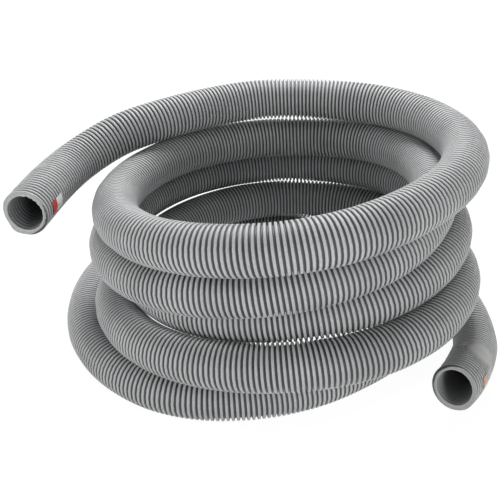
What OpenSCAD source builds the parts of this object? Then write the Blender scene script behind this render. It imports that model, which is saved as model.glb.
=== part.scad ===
// Ribbed vacuum hose, lying in a loose pile of five turns. Its top end reaches
// out over the left of the pile and its lower end comes out on the right.
// A strip of clear tape is wound round the hose at each cut end, over a small
// label. Millimetres, +Z up, standing on z = 0.

/* [Hose] */
// Outside diameter, over the ribs
hose_d = 48; // [46:0.5:52]
// Thickness of the wall, from the crowns of the ribs to the bore
wall_thickness = 5; // [4:0.5:7]
// Depth of the grooves between the ribs
groove_depth = 3; // [2:0.1:3.4]
// Length of the finely ribbed piece at each cut end
end_length = 16; // [12:1:24]
// Spacing of the fine ribs
rib_pitch = 5; // [4:0.25:7]
// Width of a fine rib
rib_width = 2.6; // [2:0.1:3.6]
// Spacing of the broad ribs along the coil and the two tails
broad_pitch = 37; // [36:1:60]

/* [Pile] */
// Radius of the pile, from its axis to the hose's centre line
coil_r = 160; // [150:1:200]
// Depth of the flat that the lowest turn rests on
flat_depth = 4.8; // [4:0.1:5]

/* [Tape] */
// Width of the tape
tape_width = 48; // [40:1:52]
// Thickness of the tape
tape_thickness = 0.3; // [0.2:0.05:0.6]
// Distance from the upper mouth to the middle of its tape
upper_tape_middle = 38; // [34:1:46]
// How far the upper tape slants, from its middle to its furthest point
upper_tape_slant = 30; // [0:1:34]
// Distance from the lower mouth to the middle of its tape
lower_tape_middle = 45; // [40:1:50]
// How far the lower tape slants
lower_tape_slant = 14; // [0:1:20]
// Bare hose left between the tape and the mouth
tape_margin = 4; // [2:0.5:8]

/* [Labels] */
// Length of a label along the hose
label_length = 25; // [15:1:30]
// Width of a label round the hose
label_width = 16; // [10:0.5:24]
// Thickness of a label
label_thickness = 0.3; // [0.2:0.05:0.4]
// Distance from the upper mouth to its label
upper_label_start = 13; // [8:1:18]
// Distance from the lower mouth to its label
lower_label_start = 20; // [14:1:24]
// Space between the hose and a label, and between a label and the tape
lay_gap = 0.3; // [0.2:0.05:0.5]

/* [Hidden] */

$fn = 96;
hose_r = hose_d / 2;
bore_r = hose_r - wall_thickness;
groove_r = hose_r - groove_depth;
label_r = hose_r + lay_gap;
tape_r = label_r + label_thickness + lay_gap;
hose_grey = [0.52, 0.53, 0.54];

// The route is set out about the pile's upright axis. Bearings run clockwise
// from the back (+Y), as seen from above. A reach is how far a point lies
// outside coil_r, and a level is its height, both in hose diameters.

// Level of the centre line where the hose rests on its flat
floor_level = 1 / 2 - flat_depth / hose_d;

// Straight runs: bearing, reach, level, heading, climb
upper_mouth = [256, 2.3, 4.2, 10, 2];
upper_join = [316, 0.7, 4.85, 57, 4];
lower_join = [2, 1.95, floor_level, 102, 0];
lower_mouth = [129, 1.35, 0.85, 208, 11];

// Reach of each turn, the top turn first, at every eighth of a turn
turn_reach = [
    [0.40, 1.10, 0.75, 0.05, 0.20, 0.40, 0.45, 0.45],
    [0.70, 0.95, 0.05, -0.15, -0.20, 0.30, 0.65, 0.90],
    [1.25, 1.35, 0.65, -0.15, -0.75, -0.50, -0.05, 0.35],
    [0.90, 1.10, 0.95, 0.40, 0.00, 0.30, 0.65, 1.05],
    [0.95, 0.75, 0.20, -1.00, -0.85, 0.35, 1.50, 2.60]
];

// Level of each turn at its back, right, front and left
turn_level = [
    [5.10, 5.05, 4.55, 3.80],
    [3.92, 4.15, 3.45, 2.80],
    [3.00, 3.15, 2.45, 1.95],
    [2.05, 2.10, 1.75, 1.25],
    [0.90, 0.65, 0.43, floor_level]
];

// Loose points of the lower tail: bearing, reach, level
tail_points = [[40, 1.8, floor_level], [58, 1.65, 0.45], [74, 1.65, 0.55]];

eighths = 8;
turns = len(turn_reach);
levels = concat([for (turn = turn_level) each turn], [lower_join[2]]);

// A smooth curve lies inside its guide points, so a round turn's guide points
// stand this much further out than the turn itself
round_pull = 6 / (4 + 2 * cos(360 / eighths));

function place(bearing, radius, level) =
    [radius * sin(bearing), radius * cos(bearing), level * hose_d];

function way(heading, climb) =
    [sin(heading) * cos(climb), cos(heading) * cos(climb), sin(climb)];

function point(row) = place(row[0], coil_r + row[1] * hose_d, row[2]);

// Guide points along a straight run, at these steps from its own point
function straight(run, spacing, steps) =
    [for (k = steps) point(run) + k * spacing * way(run[3], run[4])];

function turn_point(i) =
    let (
        reach = turn_reach[floor(i / eighths)][i % eighths],
        quarter = floor(i / 2),
        level = (levels[quarter] + levels[quarter + i % 2]) / 2
    )
    place(360 / eighths * i, round_pull * (coil_r + reach * hose_d), level);

// The hose runs straight for one diameter past each cut end, and through
// each join between the coil and a tail
end_run = end_length + hose_d;
route = concat(
    straight(upper_mouth, end_run, [-1, 0, 1, 2]),
    straight(upper_join, hose_d, [-1.5, -0.5, 0.5, 1.5]),
    [for (i = [0:turns * eighths - 1]) turn_point(i)],
    straight(lower_join, hose_d, [-1.5, -0.5, 0.5, 1.5]),
    [for (row = tail_points) point(row)],
    straight(lower_mouth, end_run, [-2, -1, 0, 1])
);
spans = len(route) - 3;
upper_join_span = 4.5;
lower_join_span = upper_join_span + turns * eighths + 4;

// The uniform cubic B-spline of the guide points, and its direction
function curve(t) =
    let (k = min(floor(t), spans - 1), f = t - k, g = 1 - f)
    (g * g * g * route[k]
        + (3 * f * f * f - 6 * f * f + 4) * route[k + 1]
        + (3 * g * g * g - 6 * g * g + 4) * route[k + 2]
        + f * f * f * route[k + 3]) / 6;

function unit(v) = v / norm(v);

function forward(t) =
    let (k = min(floor(t), spans - 1), f = t - k, g = 1 - f)
    unit(-g * g * route[k]
        + (3 * f * f - 4 * f) * route[k + 1]
        + (4 * g - 3 * g * g) * route[k + 2]
        + f * f * route[k + 3]);

// Distance along the hose, measured on short steps of the curve
span_steps = 12;
steps = spans * span_steps;
trail = [for (i = [0:steps]) curve(i / span_steps)];
mileage = [for (i = 0, run = 0; i <= steps;
    run = run + (i < steps ? norm(trail[i + 1] - trail[i]) : 0), i = i + 1) run];
span_at_mile = [for (i = [0:steps]) [mileage[i], i / span_steps]];
mile_at_span = [for (i = [0:steps]) [i / span_steps, mileage[i]]];
hose_length = mileage[steps];
upper_join_mile = lookup(upper_join_span, mile_at_span);
lower_join_mile = lookup(lower_join_span, mile_at_span);

// A point on a round skin about the hose at distance s. Angles start at the
// top and run clockwise as seen looking along the hose. Nothing goes below
// the floor, which cuts the lowest turn flat.
function skin(s, angle, radius) =
    let (
        t = lookup(s, span_at_mile),
        ahead = forward(t),
        side = unit(cross(ahead, [0, 0, 1])),
        up = cross(side, ahead),
        p = curve(t) + radius * (cos(angle) * up + sin(angle) * side)
    )
    [p.x, p.y, max(p.z, 0)];

tube_sides = 8;
function ring(s, radius) =
    [for (k = [0:tube_sides - 1]) skin(s, 360 / tube_sides * (k + 0.5), radius)];

// Rings of a ribbed stretch: outside, groove and crest by turns, and inside,
// one ring under each groove
function rib_count(from, to) = round((to - from) / broad_pitch);

function outer_rings(from, to) =
    let (halves = 2 * rib_count(from, to))
    [for (i = [0:halves])
        ring(from + (to - from) * i / halves, i % 2 == 0 ? groove_r : hose_r)];

function inner_rings(from, to) =
    let (ribs = rib_count(from, to))
    [for (i = [0:ribs]) ring(from + (to - from) * i / ribs, bore_r)];

upper_tail_skin = [for (r = outer_rings(end_length, upper_join_mile)) each r];
coil_skin = [for (r = outer_rings(upper_join_mile, lower_join_mile)) each r];
lower_tail_skin =
    [for (r = outer_rings(lower_join_mile, hose_length - end_length)) each r];

// A strip wound once round the hose at a slant. Its middle lies furthest from
// the mouth on the side at angle lead, and it stops short of the mouth.
tape_sides = 20;
tape_rows = 6;
function tape_edge(middle, slant, angle, lead, half) =
    max(tape_margin, middle + slant * cos(angle - lead) + half * tape_width / 2);

function tape_rings(radius, middle, slant, lead, upper) =
    [for (row = [0:tape_rows])
        [for (k = [0:tape_sides - 1])
            let (
                angle = 360 / tape_sides * k,
                near = tape_edge(middle, slant, angle, lead, -1),
                far = tape_edge(middle, slant, angle, lead, 1),
                s = near + (far - near) * row / tape_rows
            )
            upper ? skin(s, angle, radius) : skin(hose_length - s, -angle, radius)
        ]
    ];

upper_tape_lead = -20;
lower_tape_lead = 30;
upper_tape_skin = [for (r = tape_rings(tape_r + tape_thickness,
    upper_tape_middle, upper_tape_slant, upper_tape_lead, true)) each r];
lower_tape_skin = [for (r = tape_rings(tape_r + tape_thickness,
    lower_tape_middle, lower_tape_slant, lower_tape_lead, false)) each r];

// The part's origin is the middle of its base
all_skins = concat(upper_tail_skin, coil_skin, lower_tail_skin,
    upper_tape_skin, lower_tape_skin);
function halfway(axis) =
    (min([for (p = all_skins) p[axis]]) + max([for (p = all_skins) p[axis]])) / 2;
base_middle = [halfway(0), halfway(1), 0];

// Least gap of the hose to itself from mouth to mouth, between points of its
// centre line that are further apart along it than they could be in one bend
gap_step = 8;
bend_reach = 3 * hose_d;
hose_points = [for (s = [0:gap_step:hose_length]) curve(lookup(s, span_at_mile))];
gap_skip = ceil(bend_reach / gap_step);
least_gap = min([for (i = [0:len(hose_points) - gap_skip - 2])
    min([for (j = [i + gap_skip:len(hose_points) - 2])
        line_gap(hose_points[i], hose_points[j], hose_points[j + 1])])]) - hose_d;

function line_gap(p, a, b) =
    let (
        along = b - a,
        f = max(0, min(1, (p - a) * along / (along * along)))
    )
    norm(a + f * along - p);

// A closed wall between two stacks of rings, each ring a closed loop
module wall(outer, inner) {
    sides = len(outer[0]);
    m = len(outer) - 1;
    n = len(inner) - 1;
    base = len(outer) * sides;
    function next(k) = (k + 1) % sides;
    outside = [for (i = [0:m - 1], k = [0:sides - 1])
        let (a = i * sides, b = a + sides)
        each [[a + k, a + next(k), b + k], [a + next(k), b + next(k), b + k]]];
    inside = [for (i = [0:n - 1], k = [0:sides - 1])
        let (a = base + i * sides, b = a + sides)
        each [[a + k, b + k, a + next(k)], [a + next(k), b + k, b + next(k)]]];
    caps = [for (k = [0:sides - 1])
        let (a = m * sides, b = base + n * sides)
        each [
            [k, base + k, next(k)], [next(k), base + k, base + next(k)],
            [a + k, a + next(k), b + k], [a + next(k), b + next(k), b + k]
        ]];
    polyhedron(
        points = concat([for (r = outer) each r], [for (r = inner) each r]),
        faces = concat(outside, inside, caps)
    );
}

module ribbed_tube(from, to) {
    translate(-base_middle)
        wall(outer_rings(from, to), inner_rings(from, to));
}

// Stands at a cut end with +Z running into the hose and -X at its top
module at_mouth(run, turned) {
    translate(point(run) - base_middle)
        rotate([0, 90 - (turned ? -run[4] : run[4]),
                90 - (turned ? run[3] + 180 : run[3])])
            children();
}

// The outline of half a cut end, bore to ribs, cut through a rib's crown
module end_outline() {
    rib_r = rib_width / 2;
    intersection() {
        translate([bore_r, 0])
            square([hose_r - bore_r, end_length]);
        union() {
            translate([bore_r, 0])
                square([groove_r - bore_r, end_length]);
            for (y = [0:rib_pitch:end_length + rib_r]) {
                translate([bore_r, y - rib_r])
                    square([hose_r - rib_r - bore_r, rib_width]);
                translate([hose_r - rib_r, y])
                    circle(r = rib_r, $fn = 24);
            }
        }
    }
}

module cut_end() {
    rotate_extrude()
        end_outline();
}

// A curved patch that starts at a distance from the mouth, its middle at an
// angle from the top, clockwise as seen looking into the mouth
module label(start, angle) {
    arc = label_width / label_r * 180 / PI;
    rotate([0, 0, 180 + angle - arc / 2])
        rotate_extrude(angle = arc)
            translate([label_r, start])
                square([label_thickness, label_length]);
}

module upper_end() {
    color(hose_grey)
        at_mouth(upper_mouth, false)
            cut_end();
}

module upper_tail() {
    color(hose_grey)
        ribbed_tube(end_length, upper_join_mile);
}

module coil() {
    echo(str("Hose length ", round(hose_length), " mm, least gap to itself ",
        round(least_gap * 100) / 100, " mm"));
    color(hose_grey)
        ribbed_tube(upper_join_mile, lower_join_mile);
}

module lower_tail() {
    color(hose_grey)
        ribbed_tube(lower_join_mile, hose_length - end_length);
}

module lower_end() {
    color(hose_grey)
        at_mouth(lower_mouth, true)
            cut_end();
}

module tape(middle, slant, lead, upper) {
    color([0.82, 0.82, 0.78, 0.6])
        translate(-base_middle)
            wall(
                tape_rings(tape_r + tape_thickness, middle, slant, lead, upper),
                tape_rings(tape_r, middle, slant, lead, upper)
            );
}

module upper_tape() {
    tape(upper_tape_middle, upper_tape_slant, upper_tape_lead, true);
}

module lower_tape() {
    tape(lower_tape_middle, lower_tape_slant, lower_tape_lead, false);
}

upper_label_angle = 90;
lower_label_angle = 76;

module upper_label() {
    color([0.72, 0.2, 0.14])
        at_mouth(upper_mouth, false)
            label(upper_label_start, upper_label_angle);
}

module lower_label() {
    color([0.8, 0.55, 0.42])
        at_mouth(lower_mouth, true)
            label(lower_label_start, lower_label_angle);
}

upper_end();
upper_tail();
coil();
lower_tail();
lower_end();
upper_tape();
lower_tape();
upper_label();
lower_label();
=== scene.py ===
"""Ribbed vacuum hose in a loose pile of five turns, dressed over its CAD model.

Metres, +Z up, in the CAD model's frame. The hose keeps to the route of its
solids within about 5 mm. Its ribs run in one long screw thread round the tube.
"""

import math

import bpy
import numpy as np
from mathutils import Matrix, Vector


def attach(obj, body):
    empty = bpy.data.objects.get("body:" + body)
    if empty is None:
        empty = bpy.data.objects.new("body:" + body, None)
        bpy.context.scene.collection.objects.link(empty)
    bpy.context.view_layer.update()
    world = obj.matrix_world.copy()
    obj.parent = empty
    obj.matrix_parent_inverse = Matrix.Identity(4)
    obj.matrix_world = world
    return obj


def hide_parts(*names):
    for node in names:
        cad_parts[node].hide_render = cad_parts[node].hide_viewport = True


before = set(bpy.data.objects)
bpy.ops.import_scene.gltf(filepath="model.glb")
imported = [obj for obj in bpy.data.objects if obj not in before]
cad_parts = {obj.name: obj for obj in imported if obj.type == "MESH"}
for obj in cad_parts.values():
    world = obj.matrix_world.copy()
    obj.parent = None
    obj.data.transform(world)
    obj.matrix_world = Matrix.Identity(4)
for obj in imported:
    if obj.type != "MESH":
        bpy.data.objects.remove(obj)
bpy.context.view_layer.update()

MM = 0.001
TURN = 2 * math.pi

# ---------------------------------------------------------------- camera
# The photograph looks down at the pile at this angle, from this far. The point
# it looks at is given from the pile's own axis, which stands a little right of
# the origin.
PILE_AXIS = np.array([15.38, -46.32]) * MM
LOOK_DOWN = math.radians(28.13)
LOOK_FROM = 828.0 * MM
LOOK_AT = (-35.0 * MM, -35.0 * MM, 143.4 * MM)
FOCAL_PIXELS = 765.4
FRAME_PIXELS = 500
SENSOR_WIDTH = 36.0
camera_data = bpy.data.cameras.new("camera")
camera_data.sensor_width = SENSOR_WIDTH
camera_data.sensor_fit = "HORIZONTAL"
camera_data.lens = SENSOR_WIDTH * FOCAL_PIXELS / FRAME_PIXELS
camera_data.clip_start = 0.01
camera = bpy.data.objects.new("camera", camera_data)
bpy.context.scene.collection.objects.link(camera)
camera.location = (
    PILE_AXIS[0] + LOOK_AT[0],
    PILE_AXIS[1] + LOOK_AT[1] - LOOK_FROM * math.cos(LOOK_DOWN),
    LOOK_AT[2] + LOOK_FROM * math.sin(LOOK_DOWN),
)
camera.rotation_euler = (math.pi / 2 - LOOK_DOWN, 0, 0)
bpy.context.scene.camera = camera

# ------------------------------------------------------ the hose's route
HOSE_D = 48.0 * MM
HOSE_R = HOSE_D / 2
BORE_R = 19.0 * MM
END_LENGTH = 16.0 * MM
COIL_R = 160.0 * MM
FLOOR_LEVEL = 0.4

# Straight runs: bearing, reach, level, heading, climb. Bearings run clockwise
# from the back, reach and level are in hose diameters.
UPPER_MOUTH = (256, 2.3, 4.2, 10, 2)
UPPER_JOIN = (316, 0.7, 4.85, 57, 4)
LOWER_JOIN = (2, 1.95, FLOOR_LEVEL, 102, 0)
LOWER_MOUTH = (129, 1.35, 0.85, 208, 11)

# Reach of each turn, the top turn first, at every eighth of a turn. The top
# turn's differ from the solids by a few hundredths, to meet the photograph.
POINTS_PER_TURN = 8
TURN_REACH = (
    (0.40, 1.05, 0.77, 0.06, 0.20, 0.40, 0.43, 0.49),
    (0.70, 0.95, 0.05, -0.15, -0.20, 0.30, 0.65, 0.90),
    (1.25, 1.35, 0.65, -0.15, -0.75, -0.50, -0.05, 0.35),
    (0.90, 1.10, 0.95, 0.40, 0.00, 0.30, 0.65, 1.05),
    (0.95, 0.75, 0.20, -1.00, -0.85, 0.35, 1.50, 2.60),
)

# Level of each turn at its back, right, front and left. The solids differ a
# little here too, most at the back of the lowest turn, where they have 0.90.
TURN_LEVEL = (
    (5.10, 5.05, 4.55, 3.80),
    (3.94, 4.19, 3.45, 2.80),
    (3.00, 3.15, 2.45, 1.95),
    (2.04, 2.10, 1.75, 1.25),
    (1.03, 0.65, 0.43, FLOOR_LEVEL),
)

# Loose points of the lower tail: bearing, reach, level
TAIL_POINTS = ((40, 1.8, FLOOR_LEVEL), (58, 1.65, 0.45), (74, 1.65, 0.55))

# Shifts of single guide points in millimetres, which the solids don't have.
# They bring the two free ends to where the photograph shows them.
SHIFTS = {
    2: (-1.5, 0.8, 0),
    3: (0, 0, -1.0),
    4: (0, 0, -2.0),
    5: (0, 0, 1.3),
    6: (0, 0, 2.0),
    -5: (-0.3, 0, 0),
    -4: (-1.0, 0, 0),
    -3: (0.6, 0, 0),
    -2: (2.3, -2.5, 0),
    -1: (-17.2, 10.0, 0),
}


def place(bearing, radius, level):
    angle = math.radians(bearing)
    return np.array([radius * math.sin(angle), radius * math.cos(angle), level * HOSE_D])


def point(row):
    return place(row[0], COIL_R + row[1] * HOSE_D, row[2])


def way(row):
    heading, climb = math.radians(row[3]), math.radians(row[4])
    return np.array(
        [
            math.sin(heading) * math.cos(climb),
            math.cos(heading) * math.cos(climb),
            math.sin(climb),
        ]
    )


def straight(row, spacing, steps):
    return [point(row) + k * spacing * way(row) for k in steps]


def turn_points():
    """Guide points of the five turns, one at every eighth of a turn."""
    levels = [level for turn in TURN_LEVEL for level in turn] + [FLOOR_LEVEL]
    # a cubic B-spline cuts its corners, so its guide points lie further out
    pull = 6 / (4 + 2 * math.cos(TURN / POINTS_PER_TURN))
    points = []
    for i in range(POINTS_PER_TURN * len(TURN_REACH)):
        bearing = 360 / POINTS_PER_TURN * i
        reach = TURN_REACH[i // POINTS_PER_TURN][i % POINTS_PER_TURN]
        # levels are given for every other point, and lie halfway at the rest
        level = (levels[i // 2] + levels[i // 2 + i % 2]) / 2
        points.append(place(bearing, pull * (COIL_R + reach * HOSE_D), level))
    return points


END_RUN = END_LENGTH + HOSE_D
ROUTE = np.array(
    straight(UPPER_MOUTH, END_RUN, (-1, 0, 1, 2))
    + straight(UPPER_JOIN, HOSE_D, (-1.5, -0.5, 0.5, 1.5))
    + turn_points()
    + straight(LOWER_JOIN, HOSE_D, (-1.5, -0.5, 0.5, 1.5))
    + [point(row) for row in TAIL_POINTS]
    + straight(LOWER_MOUTH, END_RUN, (-2, -1, 0, 1))
)
ROUTE[:, :2] += PILE_AXIS
for index, shift in SHIFTS.items():
    ROUTE[index] += np.array(shift) * MM
SPANS = len(ROUTE) - 3
STEPS_PER_SPAN = 48


def curve(t):
    """Points and unit directions of the cubic B-spline at parameters t."""
    k = np.minimum(t.astype(int), SPANS - 1)
    f = (t - k)[:, None]
    g = 1 - f
    a, b, c, d = ROUTE[k], ROUTE[k + 1], ROUTE[k + 2], ROUTE[k + 3]
    place_at = (
        g**3 * a + (3 * f**3 - 6 * f**2 + 4) * b + (3 * g**3 - 6 * g**2 + 4) * c + f**3 * d
    ) / 6
    ahead = -(g**2) * a + (3 * f**2 - 4 * f) * b + (4 * g - 3 * g**2) * c + f**2 * d
    return place_at, ahead / np.linalg.norm(ahead, axis=1)[:, None]


# The curve's parameter at distances along the hose, from the upper mouth
STEPS = np.linspace(0, SPANS, SPANS * STEPS_PER_SPAN + 1)
TRAIL = curve(STEPS)[0]
MILES = np.concatenate([[0], np.cumsum(np.linalg.norm(np.diff(TRAIL, axis=0), axis=1))])
HOSE_LENGTH = MILES[-1]


def skin(s, angle, radius):
    """Points round the hose at distances s. Angles start at the top and run
    clockwise as seen looking along the hose. The floor cuts them flat."""
    s, angle, radius = np.broadcast_arrays(s, angle, radius)
    at, ahead = curve(np.interp(s.ravel(), MILES, STEPS))
    side = np.cross(ahead, [0, 0, 1])
    side /= np.linalg.norm(side, axis=1)[:, None]
    up = np.cross(side, ahead)
    a, r = angle.ravel()[:, None], radius.ravel()[:, None]
    # past a cut end the line goes straight on
    beyond = (s.ravel() - np.clip(s.ravel(), 0, HOSE_LENGTH))[:, None]
    points = at + beyond * ahead + r * (np.cos(a) * up + np.sin(a) * side)
    points[:, 2] = np.maximum(points[:, 2], 0)
    return points


# ---------------------------------------------------------- mesh building
def new_mesh(name, points, faces):
    mesh = bpy.data.meshes.new(name)
    mesh.from_pydata(points, [], faces)
    mesh.update()
    mesh.polygons.foreach_set("use_smooth", [True] * len(mesh.polygons))
    piece = bpy.data.objects.new(name, mesh)
    bpy.context.scene.collection.objects.link(piece)
    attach(piece, "root")
    return piece


def paint(piece, name, values):
    """Give each point of a piece a number that its material reads."""
    piece.data.attributes.new(name, "FLOAT", "POINT").data.foreach_set("value", values)


def quads(rows, columns, closed, flip=False):
    """Four-sided faces over rows of points. Where closed, the last column joins
    the first."""
    faces = []
    for i in range(rows - 1):
        for k in range(columns if closed else columns - 1):
            a, b = i * columns + k, i * columns + (k + 1) % columns
            c, d = b + columns, a + columns
            faces.append([b, a, d, c] if flip else [a, b, c, d])
    return faces


def grid(s, angle, radius, tone, low, high, first, shift=0, flip=False):
    """A closed strip of rows and columns round the hose. Rows past low or high
    are drawn in to them. first is the number of its first point. The last
    column joins the first, shift rows on."""
    rows, columns = s.shape
    index = np.arange(rows)[:, None]
    lowest = np.where(s <= low, index, -1).max(axis=0)
    highest = np.where(s >= high, index, rows).min(axis=0)
    used = np.clip(index, lowest, highest)
    count = highest - lowest + 1
    start = first + np.concatenate([[0], np.cumsum(count)[:-1]])
    ids = start + used - lowest
    keep = (index >= lowest) & (index <= highest)
    points = skin(np.clip(s, low, high), angle, radius).reshape(rows, columns, 3)
    points = np.concatenate([points[keep[:, k], k] for k in range(columns)])
    value = np.concatenate([tone[keep[:, k], k] for k in range(columns)])

    near = np.clip(np.arange(rows) + shift, 0, rows - 1)
    wrapped = np.concatenate([ids, ids[near, :1]], axis=1)
    a, b = wrapped[:-1, :-1], wrapped[:-1, 1:]
    c, d = wrapped[1:, 1:], wrapped[1:, :-1]
    faces = []
    for corners in np.stack([a, b, c, d], axis=-1).reshape(-1, 4).tolist():
        loop = list(dict.fromkeys(corners))
        if len(loop) > 2:
            faces.append(loop[::-1] if flip else loop)
    return points, faces, value


# ----------------------------------------------------------- ribbed skin
# The grooves run in one screw thread. At the top it starts this far from the
# upper cut, and it ends this far from the lower one.
FIRST_GROOVE = 3.6 * MM
LAST_GROOVE = 0.1 * MM
RIB_COUNT = 1355.25
PITCH = (HOSE_LENGTH - FIRST_GROOVE - LAST_GROOVE) / RIB_COUNT
GROOVE_DEPTH = 3.0 * MM
# Where the rings of a rib stand, as shares of the pitch, and how high
RIB_STATIONS = (0.10, 0.27, 0.73, 0.90)
RIB_HEIGHTS = (0.0, 1.0, 1.0, 0.0)
# The crests stand out a little, to make up for the tube's flat sides
CREST_R = HOSE_R + 0.6 * MM
UNEVENNESS = 0.12 * MM
# The upper mouth is out of round: how far its skin stands out, at what angle
# and over what width, in radians. This fades along the hose.
DENTS = ((2.1 * MM, 3.25, 0.6), (-1.6 * MM, 4.4, 0.8))
DENT_FADE = 20.0 * MM

# Near the cuts the skin is round and a little slimmer, so that the rim covers
# its edge. Along the rest it has flat sides. The stretches overlap.
HOSE_SIDES = 18
ROUND_SIDES = 72
ROUND_TRIM = 0.35 * MM
HOSE_START = 0.3 * MM
OVERLAP = 0.4 * MM

# The bore is ribbed this far in from the mouths. From there a plain liner goes
# on, and the ribbed stretches reach a little way into it.
BORE_DEPTH = 160.0 * MM
LINER_LAP = 2.0 * MM
LINER_ROWS = 100
LINER_SIDES = 8
LINER_TONE = 0.6


def ribs(low, high, sides):
    """Rows and columns of the thread of ribs between low and high, with two
    spare ribs past each, which grid() draws in."""
    first = math.floor((low - FIRST_GROOVE) / PITCH) - 2
    last = math.ceil((high - FIRST_GROOVE) / PITCH) + 2
    rib = np.repeat(np.arange(first, last), len(RIB_STATIONS))
    phase = np.tile(RIB_STATIONS, last - first)
    turn = np.arange(sides) / sides
    s = FIRST_GROOVE + (rib + phase)[:, None] * PITCH + turn * PITCH
    return s, np.broadcast_to(turn * TURN, s.shape)


def rib_height(s, angle):
    """How high the thread stands at a place on the hose, from 0 to 1."""
    phase = ((s - FIRST_GROOVE) / PITCH - angle / TURN) % 1
    return np.interp(phase, RIB_STATIONS, RIB_HEIGHTS)


def wobble(s, angle):
    """A slight unevenness of the tube, from -1 to 1, made of three waves."""
    return (
        np.sin(s * 41 + 2 * angle)
        + 0.7 * np.sin(s * 97 - angle + 1.3)
        + 0.5 * np.sin(s * 233 + 3 * angle + 0.4)
    ) / 2.2


def bulge(angle, middle, width):
    """A smooth swelling round the hose, 1 in its middle."""
    return np.exp(-((np.angle(np.exp(1j * (angle - middle))) / width) ** 2))


def mouth_shape(s, angle):
    """How far the upper mouth stands out of round, fading along the hose."""
    shape = sum(height * bulge(angle, middle, width) for height, middle, width in DENTS)
    return shape * np.exp(-np.maximum(s, 0) / DENT_FADE)


def skin_radius(s, angle, trim):
    """How far the skin stands from the hose's middle line, made slimmer by trim."""
    ribbed = CREST_R - GROOVE_DEPTH * (1 - rib_height(s, angle))
    return ribbed + UNEVENNESS * wobble(s, angle) + mouth_shape(s, angle) - trim


def skin_strip(low, high, sides, first, trim):
    s, angle = ribs(low, high, sides)
    at = np.clip(s, low, high)
    radius = skin_radius(at, angle, trim)
    # The rib's height is kept as the key to the ribs' painted light and shade
    tone = rib_height(at, angle)
    return grid(s, angle, radius, tone, low, high, first, shift=len(RIB_STATIONS))


def liner(first):
    s = np.linspace(BORE_DEPTH, HOSE_LENGTH - BORE_DEPTH, LINER_ROWS)
    s = np.repeat(s[:, None], LINER_SIDES, axis=1)
    angle = np.broadcast_to(np.arange(LINER_SIDES) / LINER_SIDES * TURN, s.shape)
    radius, tone = np.full(s.shape, BORE_R), np.full(s.shape, LINER_TONE)
    return grid(s, angle, radius, tone, s[0, 0], s[-1, 0], first, flip=True)


strips = []
point_count = 0
for low, high, sides, trim in (
    (HOSE_START, END_LENGTH, ROUND_SIDES, ROUND_TRIM),
    (END_LENGTH - OVERLAP, HOSE_LENGTH - END_LENGTH + OVERLAP, HOSE_SIDES, 0.0),
    (HOSE_LENGTH - END_LENGTH, HOSE_LENGTH - HOSE_START, ROUND_SIDES, ROUND_TRIM),
):
    strips.append(skin_strip(low, high, sides, point_count, trim))
    point_count += len(strips[-1][0])
strips.append(liner(point_count))
hose = new_mesh(
    "hose",
    np.concatenate([points for points, _, _ in strips]),
    [face for _, faces, _ in strips for face in faces],
)
# These numbers choose the ribs' painted highlight and painted shade in the hose's material
paint(hose, "crest", np.concatenate([tone for _, _, tone in strips]))
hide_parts("upper_end", "upper_tail", "coil", "lower_tail", "lower_end")

# ------------------------------------------------------------- cut ends
# The rings of a rim: how far back each stands in millimetres, how far out from
# the bore's edge to the skin, and how much of the rim's bump it shows
RIM_RINGS = (
    (1.2, 0.9, 0.6),
    (0.6, 0.98, 0.9),
    (0.3, 1.0, 1.0),
    (0.08, 0.97, 1.0),
    (0.0, 0.86, 0.8),
    (0.0, 0.5, 0.5),
    (0.0, 0.14, 0.2),
    (0.2, 0.03, 0.1),
    (0.7, 0.0, 0.0),
)
# The rim stands this far over the skin's edge
RIM_PROUD = 0.05 * MM
# Rings further in than the first share carry the knife's bites. Those between
# the two shares are the cut face, a little darker than its edges.
BITTEN_SHARE, FACE_SHARE = 0.2, 0.9
EDGE_TONE, FACE_TONE = 1.0, 0.85
# The marks of a very ragged cut: size, place round the rim and width
BITES = (0.9 * MM, 0.55, 0.5)
BITE_WAVES = 26
BURR = (1.6 * MM, 0.05, 0.06)
BUMP, BUMP_WIDTH = 1.3 * MM, 0.26
# How much of the raggedness shows outwards and back along the hose, and how
# much of the bump leans forward
RAGGED_OUT, RAGGED_BACK, BUMP_FORWARD = 0.25, 0.5, 0.4

# The bore's own ribs, and the painted light just inside the mouth, fading inwards into painted
# shade
BORE_START = 1.6 * MM
BORE_RIB = 0.7 * MM
BORE_ROWS_PER_RIB = 5
MOUTH_PAINTED_LIGHT, MOUTH_LIGHT_FADE = 0.35, 9.0 * MM


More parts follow.
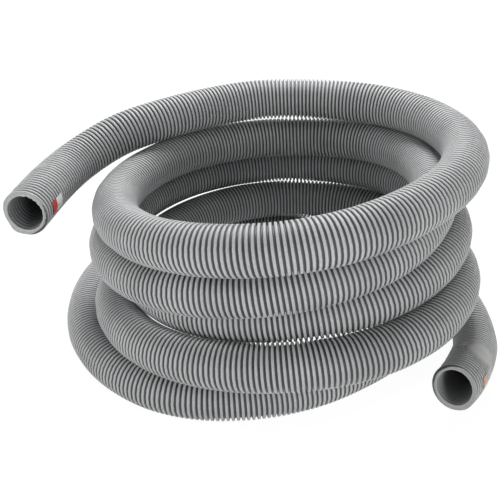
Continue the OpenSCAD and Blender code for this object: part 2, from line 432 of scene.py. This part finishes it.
def cut_end(name, upper, roughness, bump_angle, bore_painted_light):
    """The cut face of one end with the first stretch of the bore behind it.
    roughness is how ragged the knife left it; the last argument is how strongly
    the bore's ribs are painted with light and shade."""
    turn = np.arange(ROUND_SIDES) / ROUND_SIDES * TURN

    def along(depth):
        return (depth, turn) if upper else (HOSE_LENGTH - depth, -turn)

    def mark(size, middle, width):
        return size * roughness * bulge(turn, middle, width)

    ragged = roughness * MM * (
        0.5 * np.sin(5 * turn + 1) + 0.35 * np.sin(11 * turn) + 0.3 * np.sin(23 * turn + 2)
    )
    bites = mark(*BITES) * np.maximum(0, np.sin(BITE_WAVES * turn)) ** 2 - mark(*BURR)
    bump = mark(BUMP, bump_angle, BUMP_WIDTH)

    depths, radii, tone = [], [], []
    for back_mm, out, bump_share in RIM_RINGS:
        back = back_mm * MM
        wall = skin_radius(*along(max(back, HOSE_START)), ROUND_TRIM - RIM_PROUD) - BORE_R
        radius = BORE_R + out * wall + bump_share * bump + RAGGED_OUT * ragged
        lean = RAGGED_BACK * ragged - BUMP_FORWARD * bump
        depths.append(back + (1 - back / BORE_START) * lean)
        radii.append(radius + bites if out < BITTEN_SHARE else radius)
        face = BITTEN_SHARE < out < FACE_SHARE
        tone.append(np.full(ROUND_SIDES, FACE_TONE if face else EDGE_TONE))
    depth = BORE_START
    while depth < BORE_DEPTH + LINER_LAP:
        swell = np.cos(depth / PITCH * TURN - turn)
        depths.append(np.full(ROUND_SIDES, depth))
        radii.append(BORE_R + BORE_RIB * swell)
        # Painted light just inside the mouth that fades inwards, and painted light and shade on
        # the bore's ribs, lighter on their crests
        tone.append(MOUTH_PAINTED_LIGHT * math.exp(-depth / MOUTH_LIGHT_FADE) + bore_painted_light * (1 - swell))
        depth += PITCH / BORE_ROWS_PER_RIB
    points = skin(*along(np.array(depths)), np.array(radii))
    piece = new_mesh(name, points, quads(len(depths), ROUND_SIDES, closed=True, flip=True))
    paint(piece, "cut", np.concatenate(tone))
    return piece


# The last number is how strongly each bore's ribs are painted with light and shade, stronger in
# the lower mouth
upper_cut = cut_end("upper_cut", True, 0.9, math.radians(213), 0.10)
lower_cut = cut_end("lower_cut", False, 0.3, math.radians(140), 0.34)

# ------------------------------------------------------- tape and labels
# Millimetres: the bare hose left at the mouth, how far tape and labels stand
# over the crests, and how far they rise and sink from rib to rib
TAPE_MARGIN = 4.0
TAPE_STAND, TAPE_WAVE = 0.42, 0.10
LABEL_STAND, LABEL_WAVE = 0.12, 0.06
# Creases in the tape: height in millimetres, and waves along and round
CREASE, CREASES_ALONG, CREASES_ROUND = 0.10, 190, 4
TAPE_ROWS, TAPE_SIDES = 40, 96
LABEL_ROWS, LABEL_COLUMNS = 26, 18


def on_skin(distance, angle, radius, upper):
    """Points at a distance from a mouth, angles clockwise from the top as seen
    looking into it."""
    if upper:
        return skin(distance, angle, radius)
    return skin(HOSE_LENGTH - distance, -np.asarray(angle), radius)


def rib_wave(s, angle):
    """A wave with the pitch and slant of the ribs, from -1 to 1."""
    return np.cos((s / PITCH) * TURN - angle)


def tape(name, cad_node, upper, near, far, patches):
    """A strip of clear tape round the hose. near and far give its edges: mean
    distance from the mouth, swing, and the angle of the furthest point. patches
    are its lighter, milky places, which on the upper tape also paint its glossy
    sheen as a painted highlight: distance, angle, reach both ways and strength."""
    turn = np.arange(TAPE_SIDES) / TAPE_SIDES * TURN
    edges = []
    for mean, swing, lead in (near, far):
        edge = mean + swing * np.cos(turn - math.radians(lead))
        edges.append(np.maximum(edge, TAPE_MARGIN) * MM)
    share = np.linspace(0, 1, TAPE_ROWS)[:, None]
    s = edges[0] + (edges[1] - edges[0]) * share
    angle = np.broadcast_to(turn, s.shape)
    creases = CREASE * np.sin(s * CREASES_ALONG + CREASES_ROUND * angle)
    stand = TAPE_STAND + TAPE_WAVE * rib_wave(s, angle) + creases
    points = on_skin(s, angle, CREST_R + stand * MM, upper)
    piece = new_mesh(name, points, quads(TAPE_ROWS, TAPE_SIDES, closed=True))
    paint(piece, "edge", np.repeat(np.minimum(share, 1 - share)[:, 0] * 2, TAPE_SIDES))
    milk_and_sheen = np.zeros(s.shape)
    for at, bearing, reach, sweep, strength in patches:
        turned = (np.degrees(angle) - bearing + 180) % 360 - 180
        away = ((s / MM - at) / reach) ** 2 + (turned / sweep) ** 2
        milk_and_sheen = np.maximum(milk_and_sheen, strength * np.exp(-(away**2)))
    paint(piece, "milk_and_sheen", milk_and_sheen.ravel())
    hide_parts(cad_node)
    return piece


def label(name, cad_node, upper, start, length, middle, width):
    """A thin printed patch on the hose. start and length run along it, in
    millimetres, middle and width round it, in degrees."""
    share = np.linspace(0, 1, LABEL_ROWS)
    across = np.linspace(-0.5, 0.5, LABEL_COLUMNS)
    s, angle = np.broadcast_arrays(
        (start + length * share[:, None]) * MM, np.radians(middle + width * across)
    )
    stand = LABEL_STAND + LABEL_WAVE * rib_wave(s, angle)
    points = on_skin(s, angle, CREST_R + stand * MM, upper)
    piece = new_mesh(name, points, quads(LABEL_ROWS, LABEL_COLUMNS, closed=False))
    paint(piece, "along", np.repeat(share, LABEL_COLUMNS))
    paint(piece, "across", np.tile(across + 0.5, LABEL_ROWS))
    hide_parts(cad_node)
    return piece


# Its patches partly paint the tape's glossy sheen as a lighter film: painted highlight
upper_tape = tape(
    "upper_tape_wrap",
    "upper_tape",
    True,
    near=(12.7, 27.7, -10),
    far=(66.7, 33.3, -30),
    patches=[(63, -18, 8, 27, 0.5), (56, 71, 18, 5, 0.45)],
)
lower_tape = tape(
    "lower_tape_wrap",
    "lower_tape",
    False,
    near=(24, 12, -30),
    far=(72, 12, 60),
    patches=[(57, 30, 22, 44, 0.75), (46, 76, 13, 22, 0.6), (64, -20, 7, 30, 0.4)],
)
upper_label = label("upper_label_print", "upper_label", True, 14.6, 25, 92, 34)
lower_label = label("lower_label_print", "lower_label", False, 20, 22, 80, 30)


# ------------------------------------------------------------- materials
def material(name):
    made = bpy.data.materials.new(name)
    made.use_nodes = True
    made.node_tree.nodes.clear()
    return made, made.node_tree


def node(tree, kind, values=(), **settings):
    """A shader node with its settings, and values or links for its inputs."""
    made = tree.nodes.new("ShaderNode" + kind)
    for key, value in settings.items():
        setattr(made, key, value)
    for key, value in dict(values).items():
        if isinstance(value, bpy.types.NodeSocket):
            tree.links.new(value, made.inputs[key])
        else:
            made.inputs[key].default_value = value
    return made


def maths(tree, operation, a, b=0.0):
    return node(tree, "Math", {0: a, 1: b}, operation=operation).outputs[0]


def read(tree, name):
    """The numbers that paint() gave the piece under this name."""
    return node(tree, "Attribute", attribute_name=name).outputs["Fac"]


def noise(tree, scale, detail, roughness=0.5):
    where = node(tree, "TexCoord").outputs["Object"]
    values = {"Vector": where, "Scale": scale, "Detail": detail, "Roughness": roughness}
    return node(tree, "TexNoise", values).outputs["Fac"]


def ramp(tree, value, *stops):
    made = node(tree, "ValToRGB", {"Fac": value})
    elements = made.color_ramp.elements
    while len(elements) < len(stops):
        elements.new(0.5)
    for element, (position, colour) in zip(elements, stops, strict=True):
        element.position = position
        element.color = colour
    return made.outputs["Color"]


def grey(level, warmth=0.0):
    return (level * (1 + warmth), level, level * (1 - warmth), 1)


def blend(tree, mode, a, b):
    """Two colours multiplied or added."""
    values = {0: 1.0, 6: a, 7: b}
    return node(tree, "Mix", values, data_type="RGBA", blend_type=mode).outputs[2]


def bumps(tree, height, strength, distance):
    values = {"Strength": strength, "Distance": distance, "Height": height}
    return node(tree, "Bump", values).outputs["Normal"]


def plastic(tree, colour, roughness, ior, **more):
    values = {"Base Color": colour, "Roughness": roughness, "IOR": ior, **more}
    return node(tree, "BsdfPrincipled", values).outputs["BSDF"]


def finish_material(tree, shader):
    node(tree, "OutputMaterial", {"Surface": shader})


HOSE_IOR = 1.46


def hose_material():
    """Satin grey plastic with cloudy dust and fine speckle, painted light on the rib crests and
    painted shade on their flanks and in the grooves.
    """
    made, tree = material("hose_plastic")
    cloudy = noise(tree, 14.0, 3.0, 0.55)
    fine = noise(tree, 420.0, 2.0, 0.6)
    # The rib's height picks the colour: crests painted pale as a painted highlight, flanks and
    # grooves painted dark as painted shade
    base = ramp(
        tree,
        read(tree, "crest"),
        (0.0, grey(0.17, -0.04)),
        (0.15, grey(0.145, -0.04)),
        (0.35, grey(0.08, -0.04)),
        (0.7, grey(0.10, -0.03)),
        (0.9, grey(0.33, -0.02)),
        (1.0, grey(0.485, -0.01)),
    )
    dust = ramp(tree, cloudy, (0.3, grey(0.82)), (0.7, grey(1.12)))
    speckle = ramp(tree, fine, (0.25, grey(0.86)), (0.8, grey(1.1)))
    colour = blend(tree, "MULTIPLY", blend(tree, "MULTIPLY", base, dust), speckle)
    rough = ramp(tree, cloudy, (0.3, grey(0.42)), (0.75, grey(0.6)))
    normal = bumps(tree, fine, 0.12, 0.4 * MM)
    finish_material(tree, plastic(tree, colour, rough, HOSE_IOR, Normal=normal))
    return made


def cut_material():
    """Freshly cut grey plastic on the rim; down the bore it is painted darker, as painted
    shade, with painted light on its ribs and near the mouth.
    """
    made, tree = material("hose_cut")
    fine = noise(tree, 300.0, 3.0, 0.6)
    # Low numbers, deep in the bore and in its grooves, are painted dark as painted shade
    base = ramp(
        tree,
        read(tree, "cut"),
        (0.0, grey(0.07, -0.04)),
        (0.4, grey(0.27, -0.02)),
        (0.85, grey(0.35, -0.01)),
        (1.0, grey(0.42, -0.01)),
    )
    speckle = ramp(tree, fine, (0.25, grey(0.88)), (0.8, grey(1.1)))
    colour = blend(tree, "MULTIPLY", base, speckle)
    normal = bumps(tree, fine, 0.2, 0.5 * MM)
    finish_material(tree, plastic(tree, colour, 0.55, HOSE_IOR, Normal=normal))
    return made


def tape_material():
    """Clear packing tape: mostly see-through, glossy, milky in places, with painted sheen in
    some of them.
    """
    made, tree = material("clear_tape")
    creases = noise(tree, 60.0, 4.0, 0.7)
    milky = ramp(tree, creases, (0.45, grey(0.02)), (0.8, grey(0.22)))
    rim = ramp(tree, read(tree, "edge"), (0.0, grey(0.18)), (0.05, grey(0.0)))
    # The patches add milkiness, and painted highlight where they stand for the tape's sheen
    cover = blend(tree, "ADD", blend(tree, "ADD", milky, rim), read(tree, "milk_and_sheen"))
    normal = bumps(tree, creases, 0.35, 0.6 * MM)
    film = plastic(tree, (0.47, 0.47, 0.46, 1), 0.3, 1.48, Normal=normal)
    clear = node(tree, "BsdfTransparent", {"Color": (1.0, 1.0, 1.0, 1)}).outputs["BSDF"]
    shader = node(tree, "MixShader", {0: cover, 1: clear, 2: film}).outputs["Shader"]
    finish_material(tree, shader)
    return made


LABEL_LINES = 9.0
LINE_TINT = (0.72, 0.86, 0.8, 1)


def label_material(name, block, share, paper):
    """Printed label: a block of colour over its first share, then paper, with
    faint lines across it."""
    made, tree = material(name)
    along = read(tree, "along")
    base = ramp(tree, along, (0.0, block), (share, block), (share + 0.03, paper), (1.0, paper))
    lines = maths(tree, "FRACT", maths(tree, "MULTIPLY", along, LABEL_LINES))
    white = grey(1.0)
    stripe = ramp(tree, lines, (0.0, white), (0.55, white), (0.6, LINE_TINT), (0.95, white))
    worn = ramp(tree, noise(tree, 260.0, 3.0), (0.25, grey(0.85)), (0.75, grey(1.08)))
    colour = blend(tree, "MULTIPLY", blend(tree, "MULTIPLY", base, stripe), worn)
    finish_material(tree, plastic(tree, colour, 0.35, 1.45))
    return made


RED, ORANGE = (0.62, 0.035, 0.012, 1), (0.62, 0.31, 0.18, 1)
cut_plastic = cut_material()
film = tape_material()
for piece, its_material in (
    (hose, hose_material()),
    (upper_cut, cut_plastic),
    (lower_cut, cut_plastic),
    (upper_tape, film),
    (lower_tape, film),
    (upper_label, label_material("upper_print", RED, 0.42, grey(0.92))),
    (lower_label, label_material("lower_print", ORANGE, 0.5, grey(0.5))),
):
    piece.data.materials.append(its_material)

# ------------------------------------------------------ floor and lights
FLOOR_REACH = 6.0
FLOOR_DROP = 0.4 * MM
FLOOR_COLOUR = (0.86, 0.86, 0.86, 1)
WHITE = (1, 1, 1, 1)
# Seen directly, the floor is mostly a white glow. The rest of it is its lit
# surface, which keeps the hose's shadow.
FLOOR_GLOW = 1.07
GLOW_SHARE = 0.9
# The world's light on the object, and how bright it is seen directly
WORLD_LIGHT = 0.29
WORLD_SEEN = 1.0
# Name, place, size and power of each lamp
LAMP_TARGET = (0, 0, 0.1)
LAMPS = (
    ("overhead", (0.1, 1.0, 1.75), 1.0, 45),
    ("left", (-1.8, -0.3, 0.5), 0.7, 6),
    ("front_left", (-1.4, -1.65, 0.35), 0.8, 11),
    ("front_right", (1.1, -1.8, 0.35), 0.8, 14),
)


def seen_directly(tree):
    """1 for rays that carry the picture of the background itself."""
    rays = node(tree, "LightPath").outputs
    mirrored = maths(tree, "MAXIMUM", rays["Is Glossy Ray"], rays["Is Transmission Ray"])
    return maths(tree, "MAXIMUM", rays["Is Camera Ray"], mirrored)


floor_data = bpy.data.meshes.new("floor")
corners = [(-1, -1), (1, -1), (1, 1), (-1, 1)]
floor_data.from_pydata(
    [(x * FLOOR_REACH, y * FLOOR_REACH, 0) for x, y in corners], [], [(0, 1, 2, 3)]
)
floor = bpy.data.objects.new("floor", floor_data)
floor.location = (0, 0, -FLOOR_DROP)
bpy.context.scene.collection.objects.link(floor)

floor_white, tree = material("floor_white")
diffuse = node(tree, "BsdfDiffuse", {"Color": FLOOR_COLOUR}).outputs["BSDF"]
glow = node(tree, "Emission", {"Color": WHITE, "Strength": FLOOR_GLOW}).outputs["Emission"]
seen = maths(tree, "MULTIPLY", seen_directly(tree), GLOW_SHARE)
finish_material(tree, node(tree, "MixShader", {0: seen, 1: diffuse, 2: glow}).outputs["Shader"])
floor_data.materials.append(floor_white)

world = bpy.data.worlds.new("world")
bpy.context.scene.world = world
world.use_nodes = True
tree = world.node_tree
tree.nodes.clear()
strength = node(
    tree,
    "MapRange",
    {"Value": seen_directly(tree), "To Min": WORLD_LIGHT, "To Max": WORLD_SEEN},
).outputs[0]
sky = node(tree, "Background", {"Color": WHITE, "Strength": strength}).outputs[0]
node(tree, "OutputWorld", {"Surface": sky})

for name, location, size, power in LAMPS:
    data = bpy.data.lights.new(name, "AREA")
    data.shape = "DISK"
    data.size = size
    data.energy = power
    lamp = bpy.data.objects.new(name, data)
    lamp.location = location
    aim = Vector(LAMP_TARGET) - Vector(location)
    lamp.rotation_euler = aim.to_track_quat("-Z", "Y").to_euler()
    bpy.context.scene.collection.objects.link(lamp)

bpy.context.scene.view_settings.view_transform = "Standard"
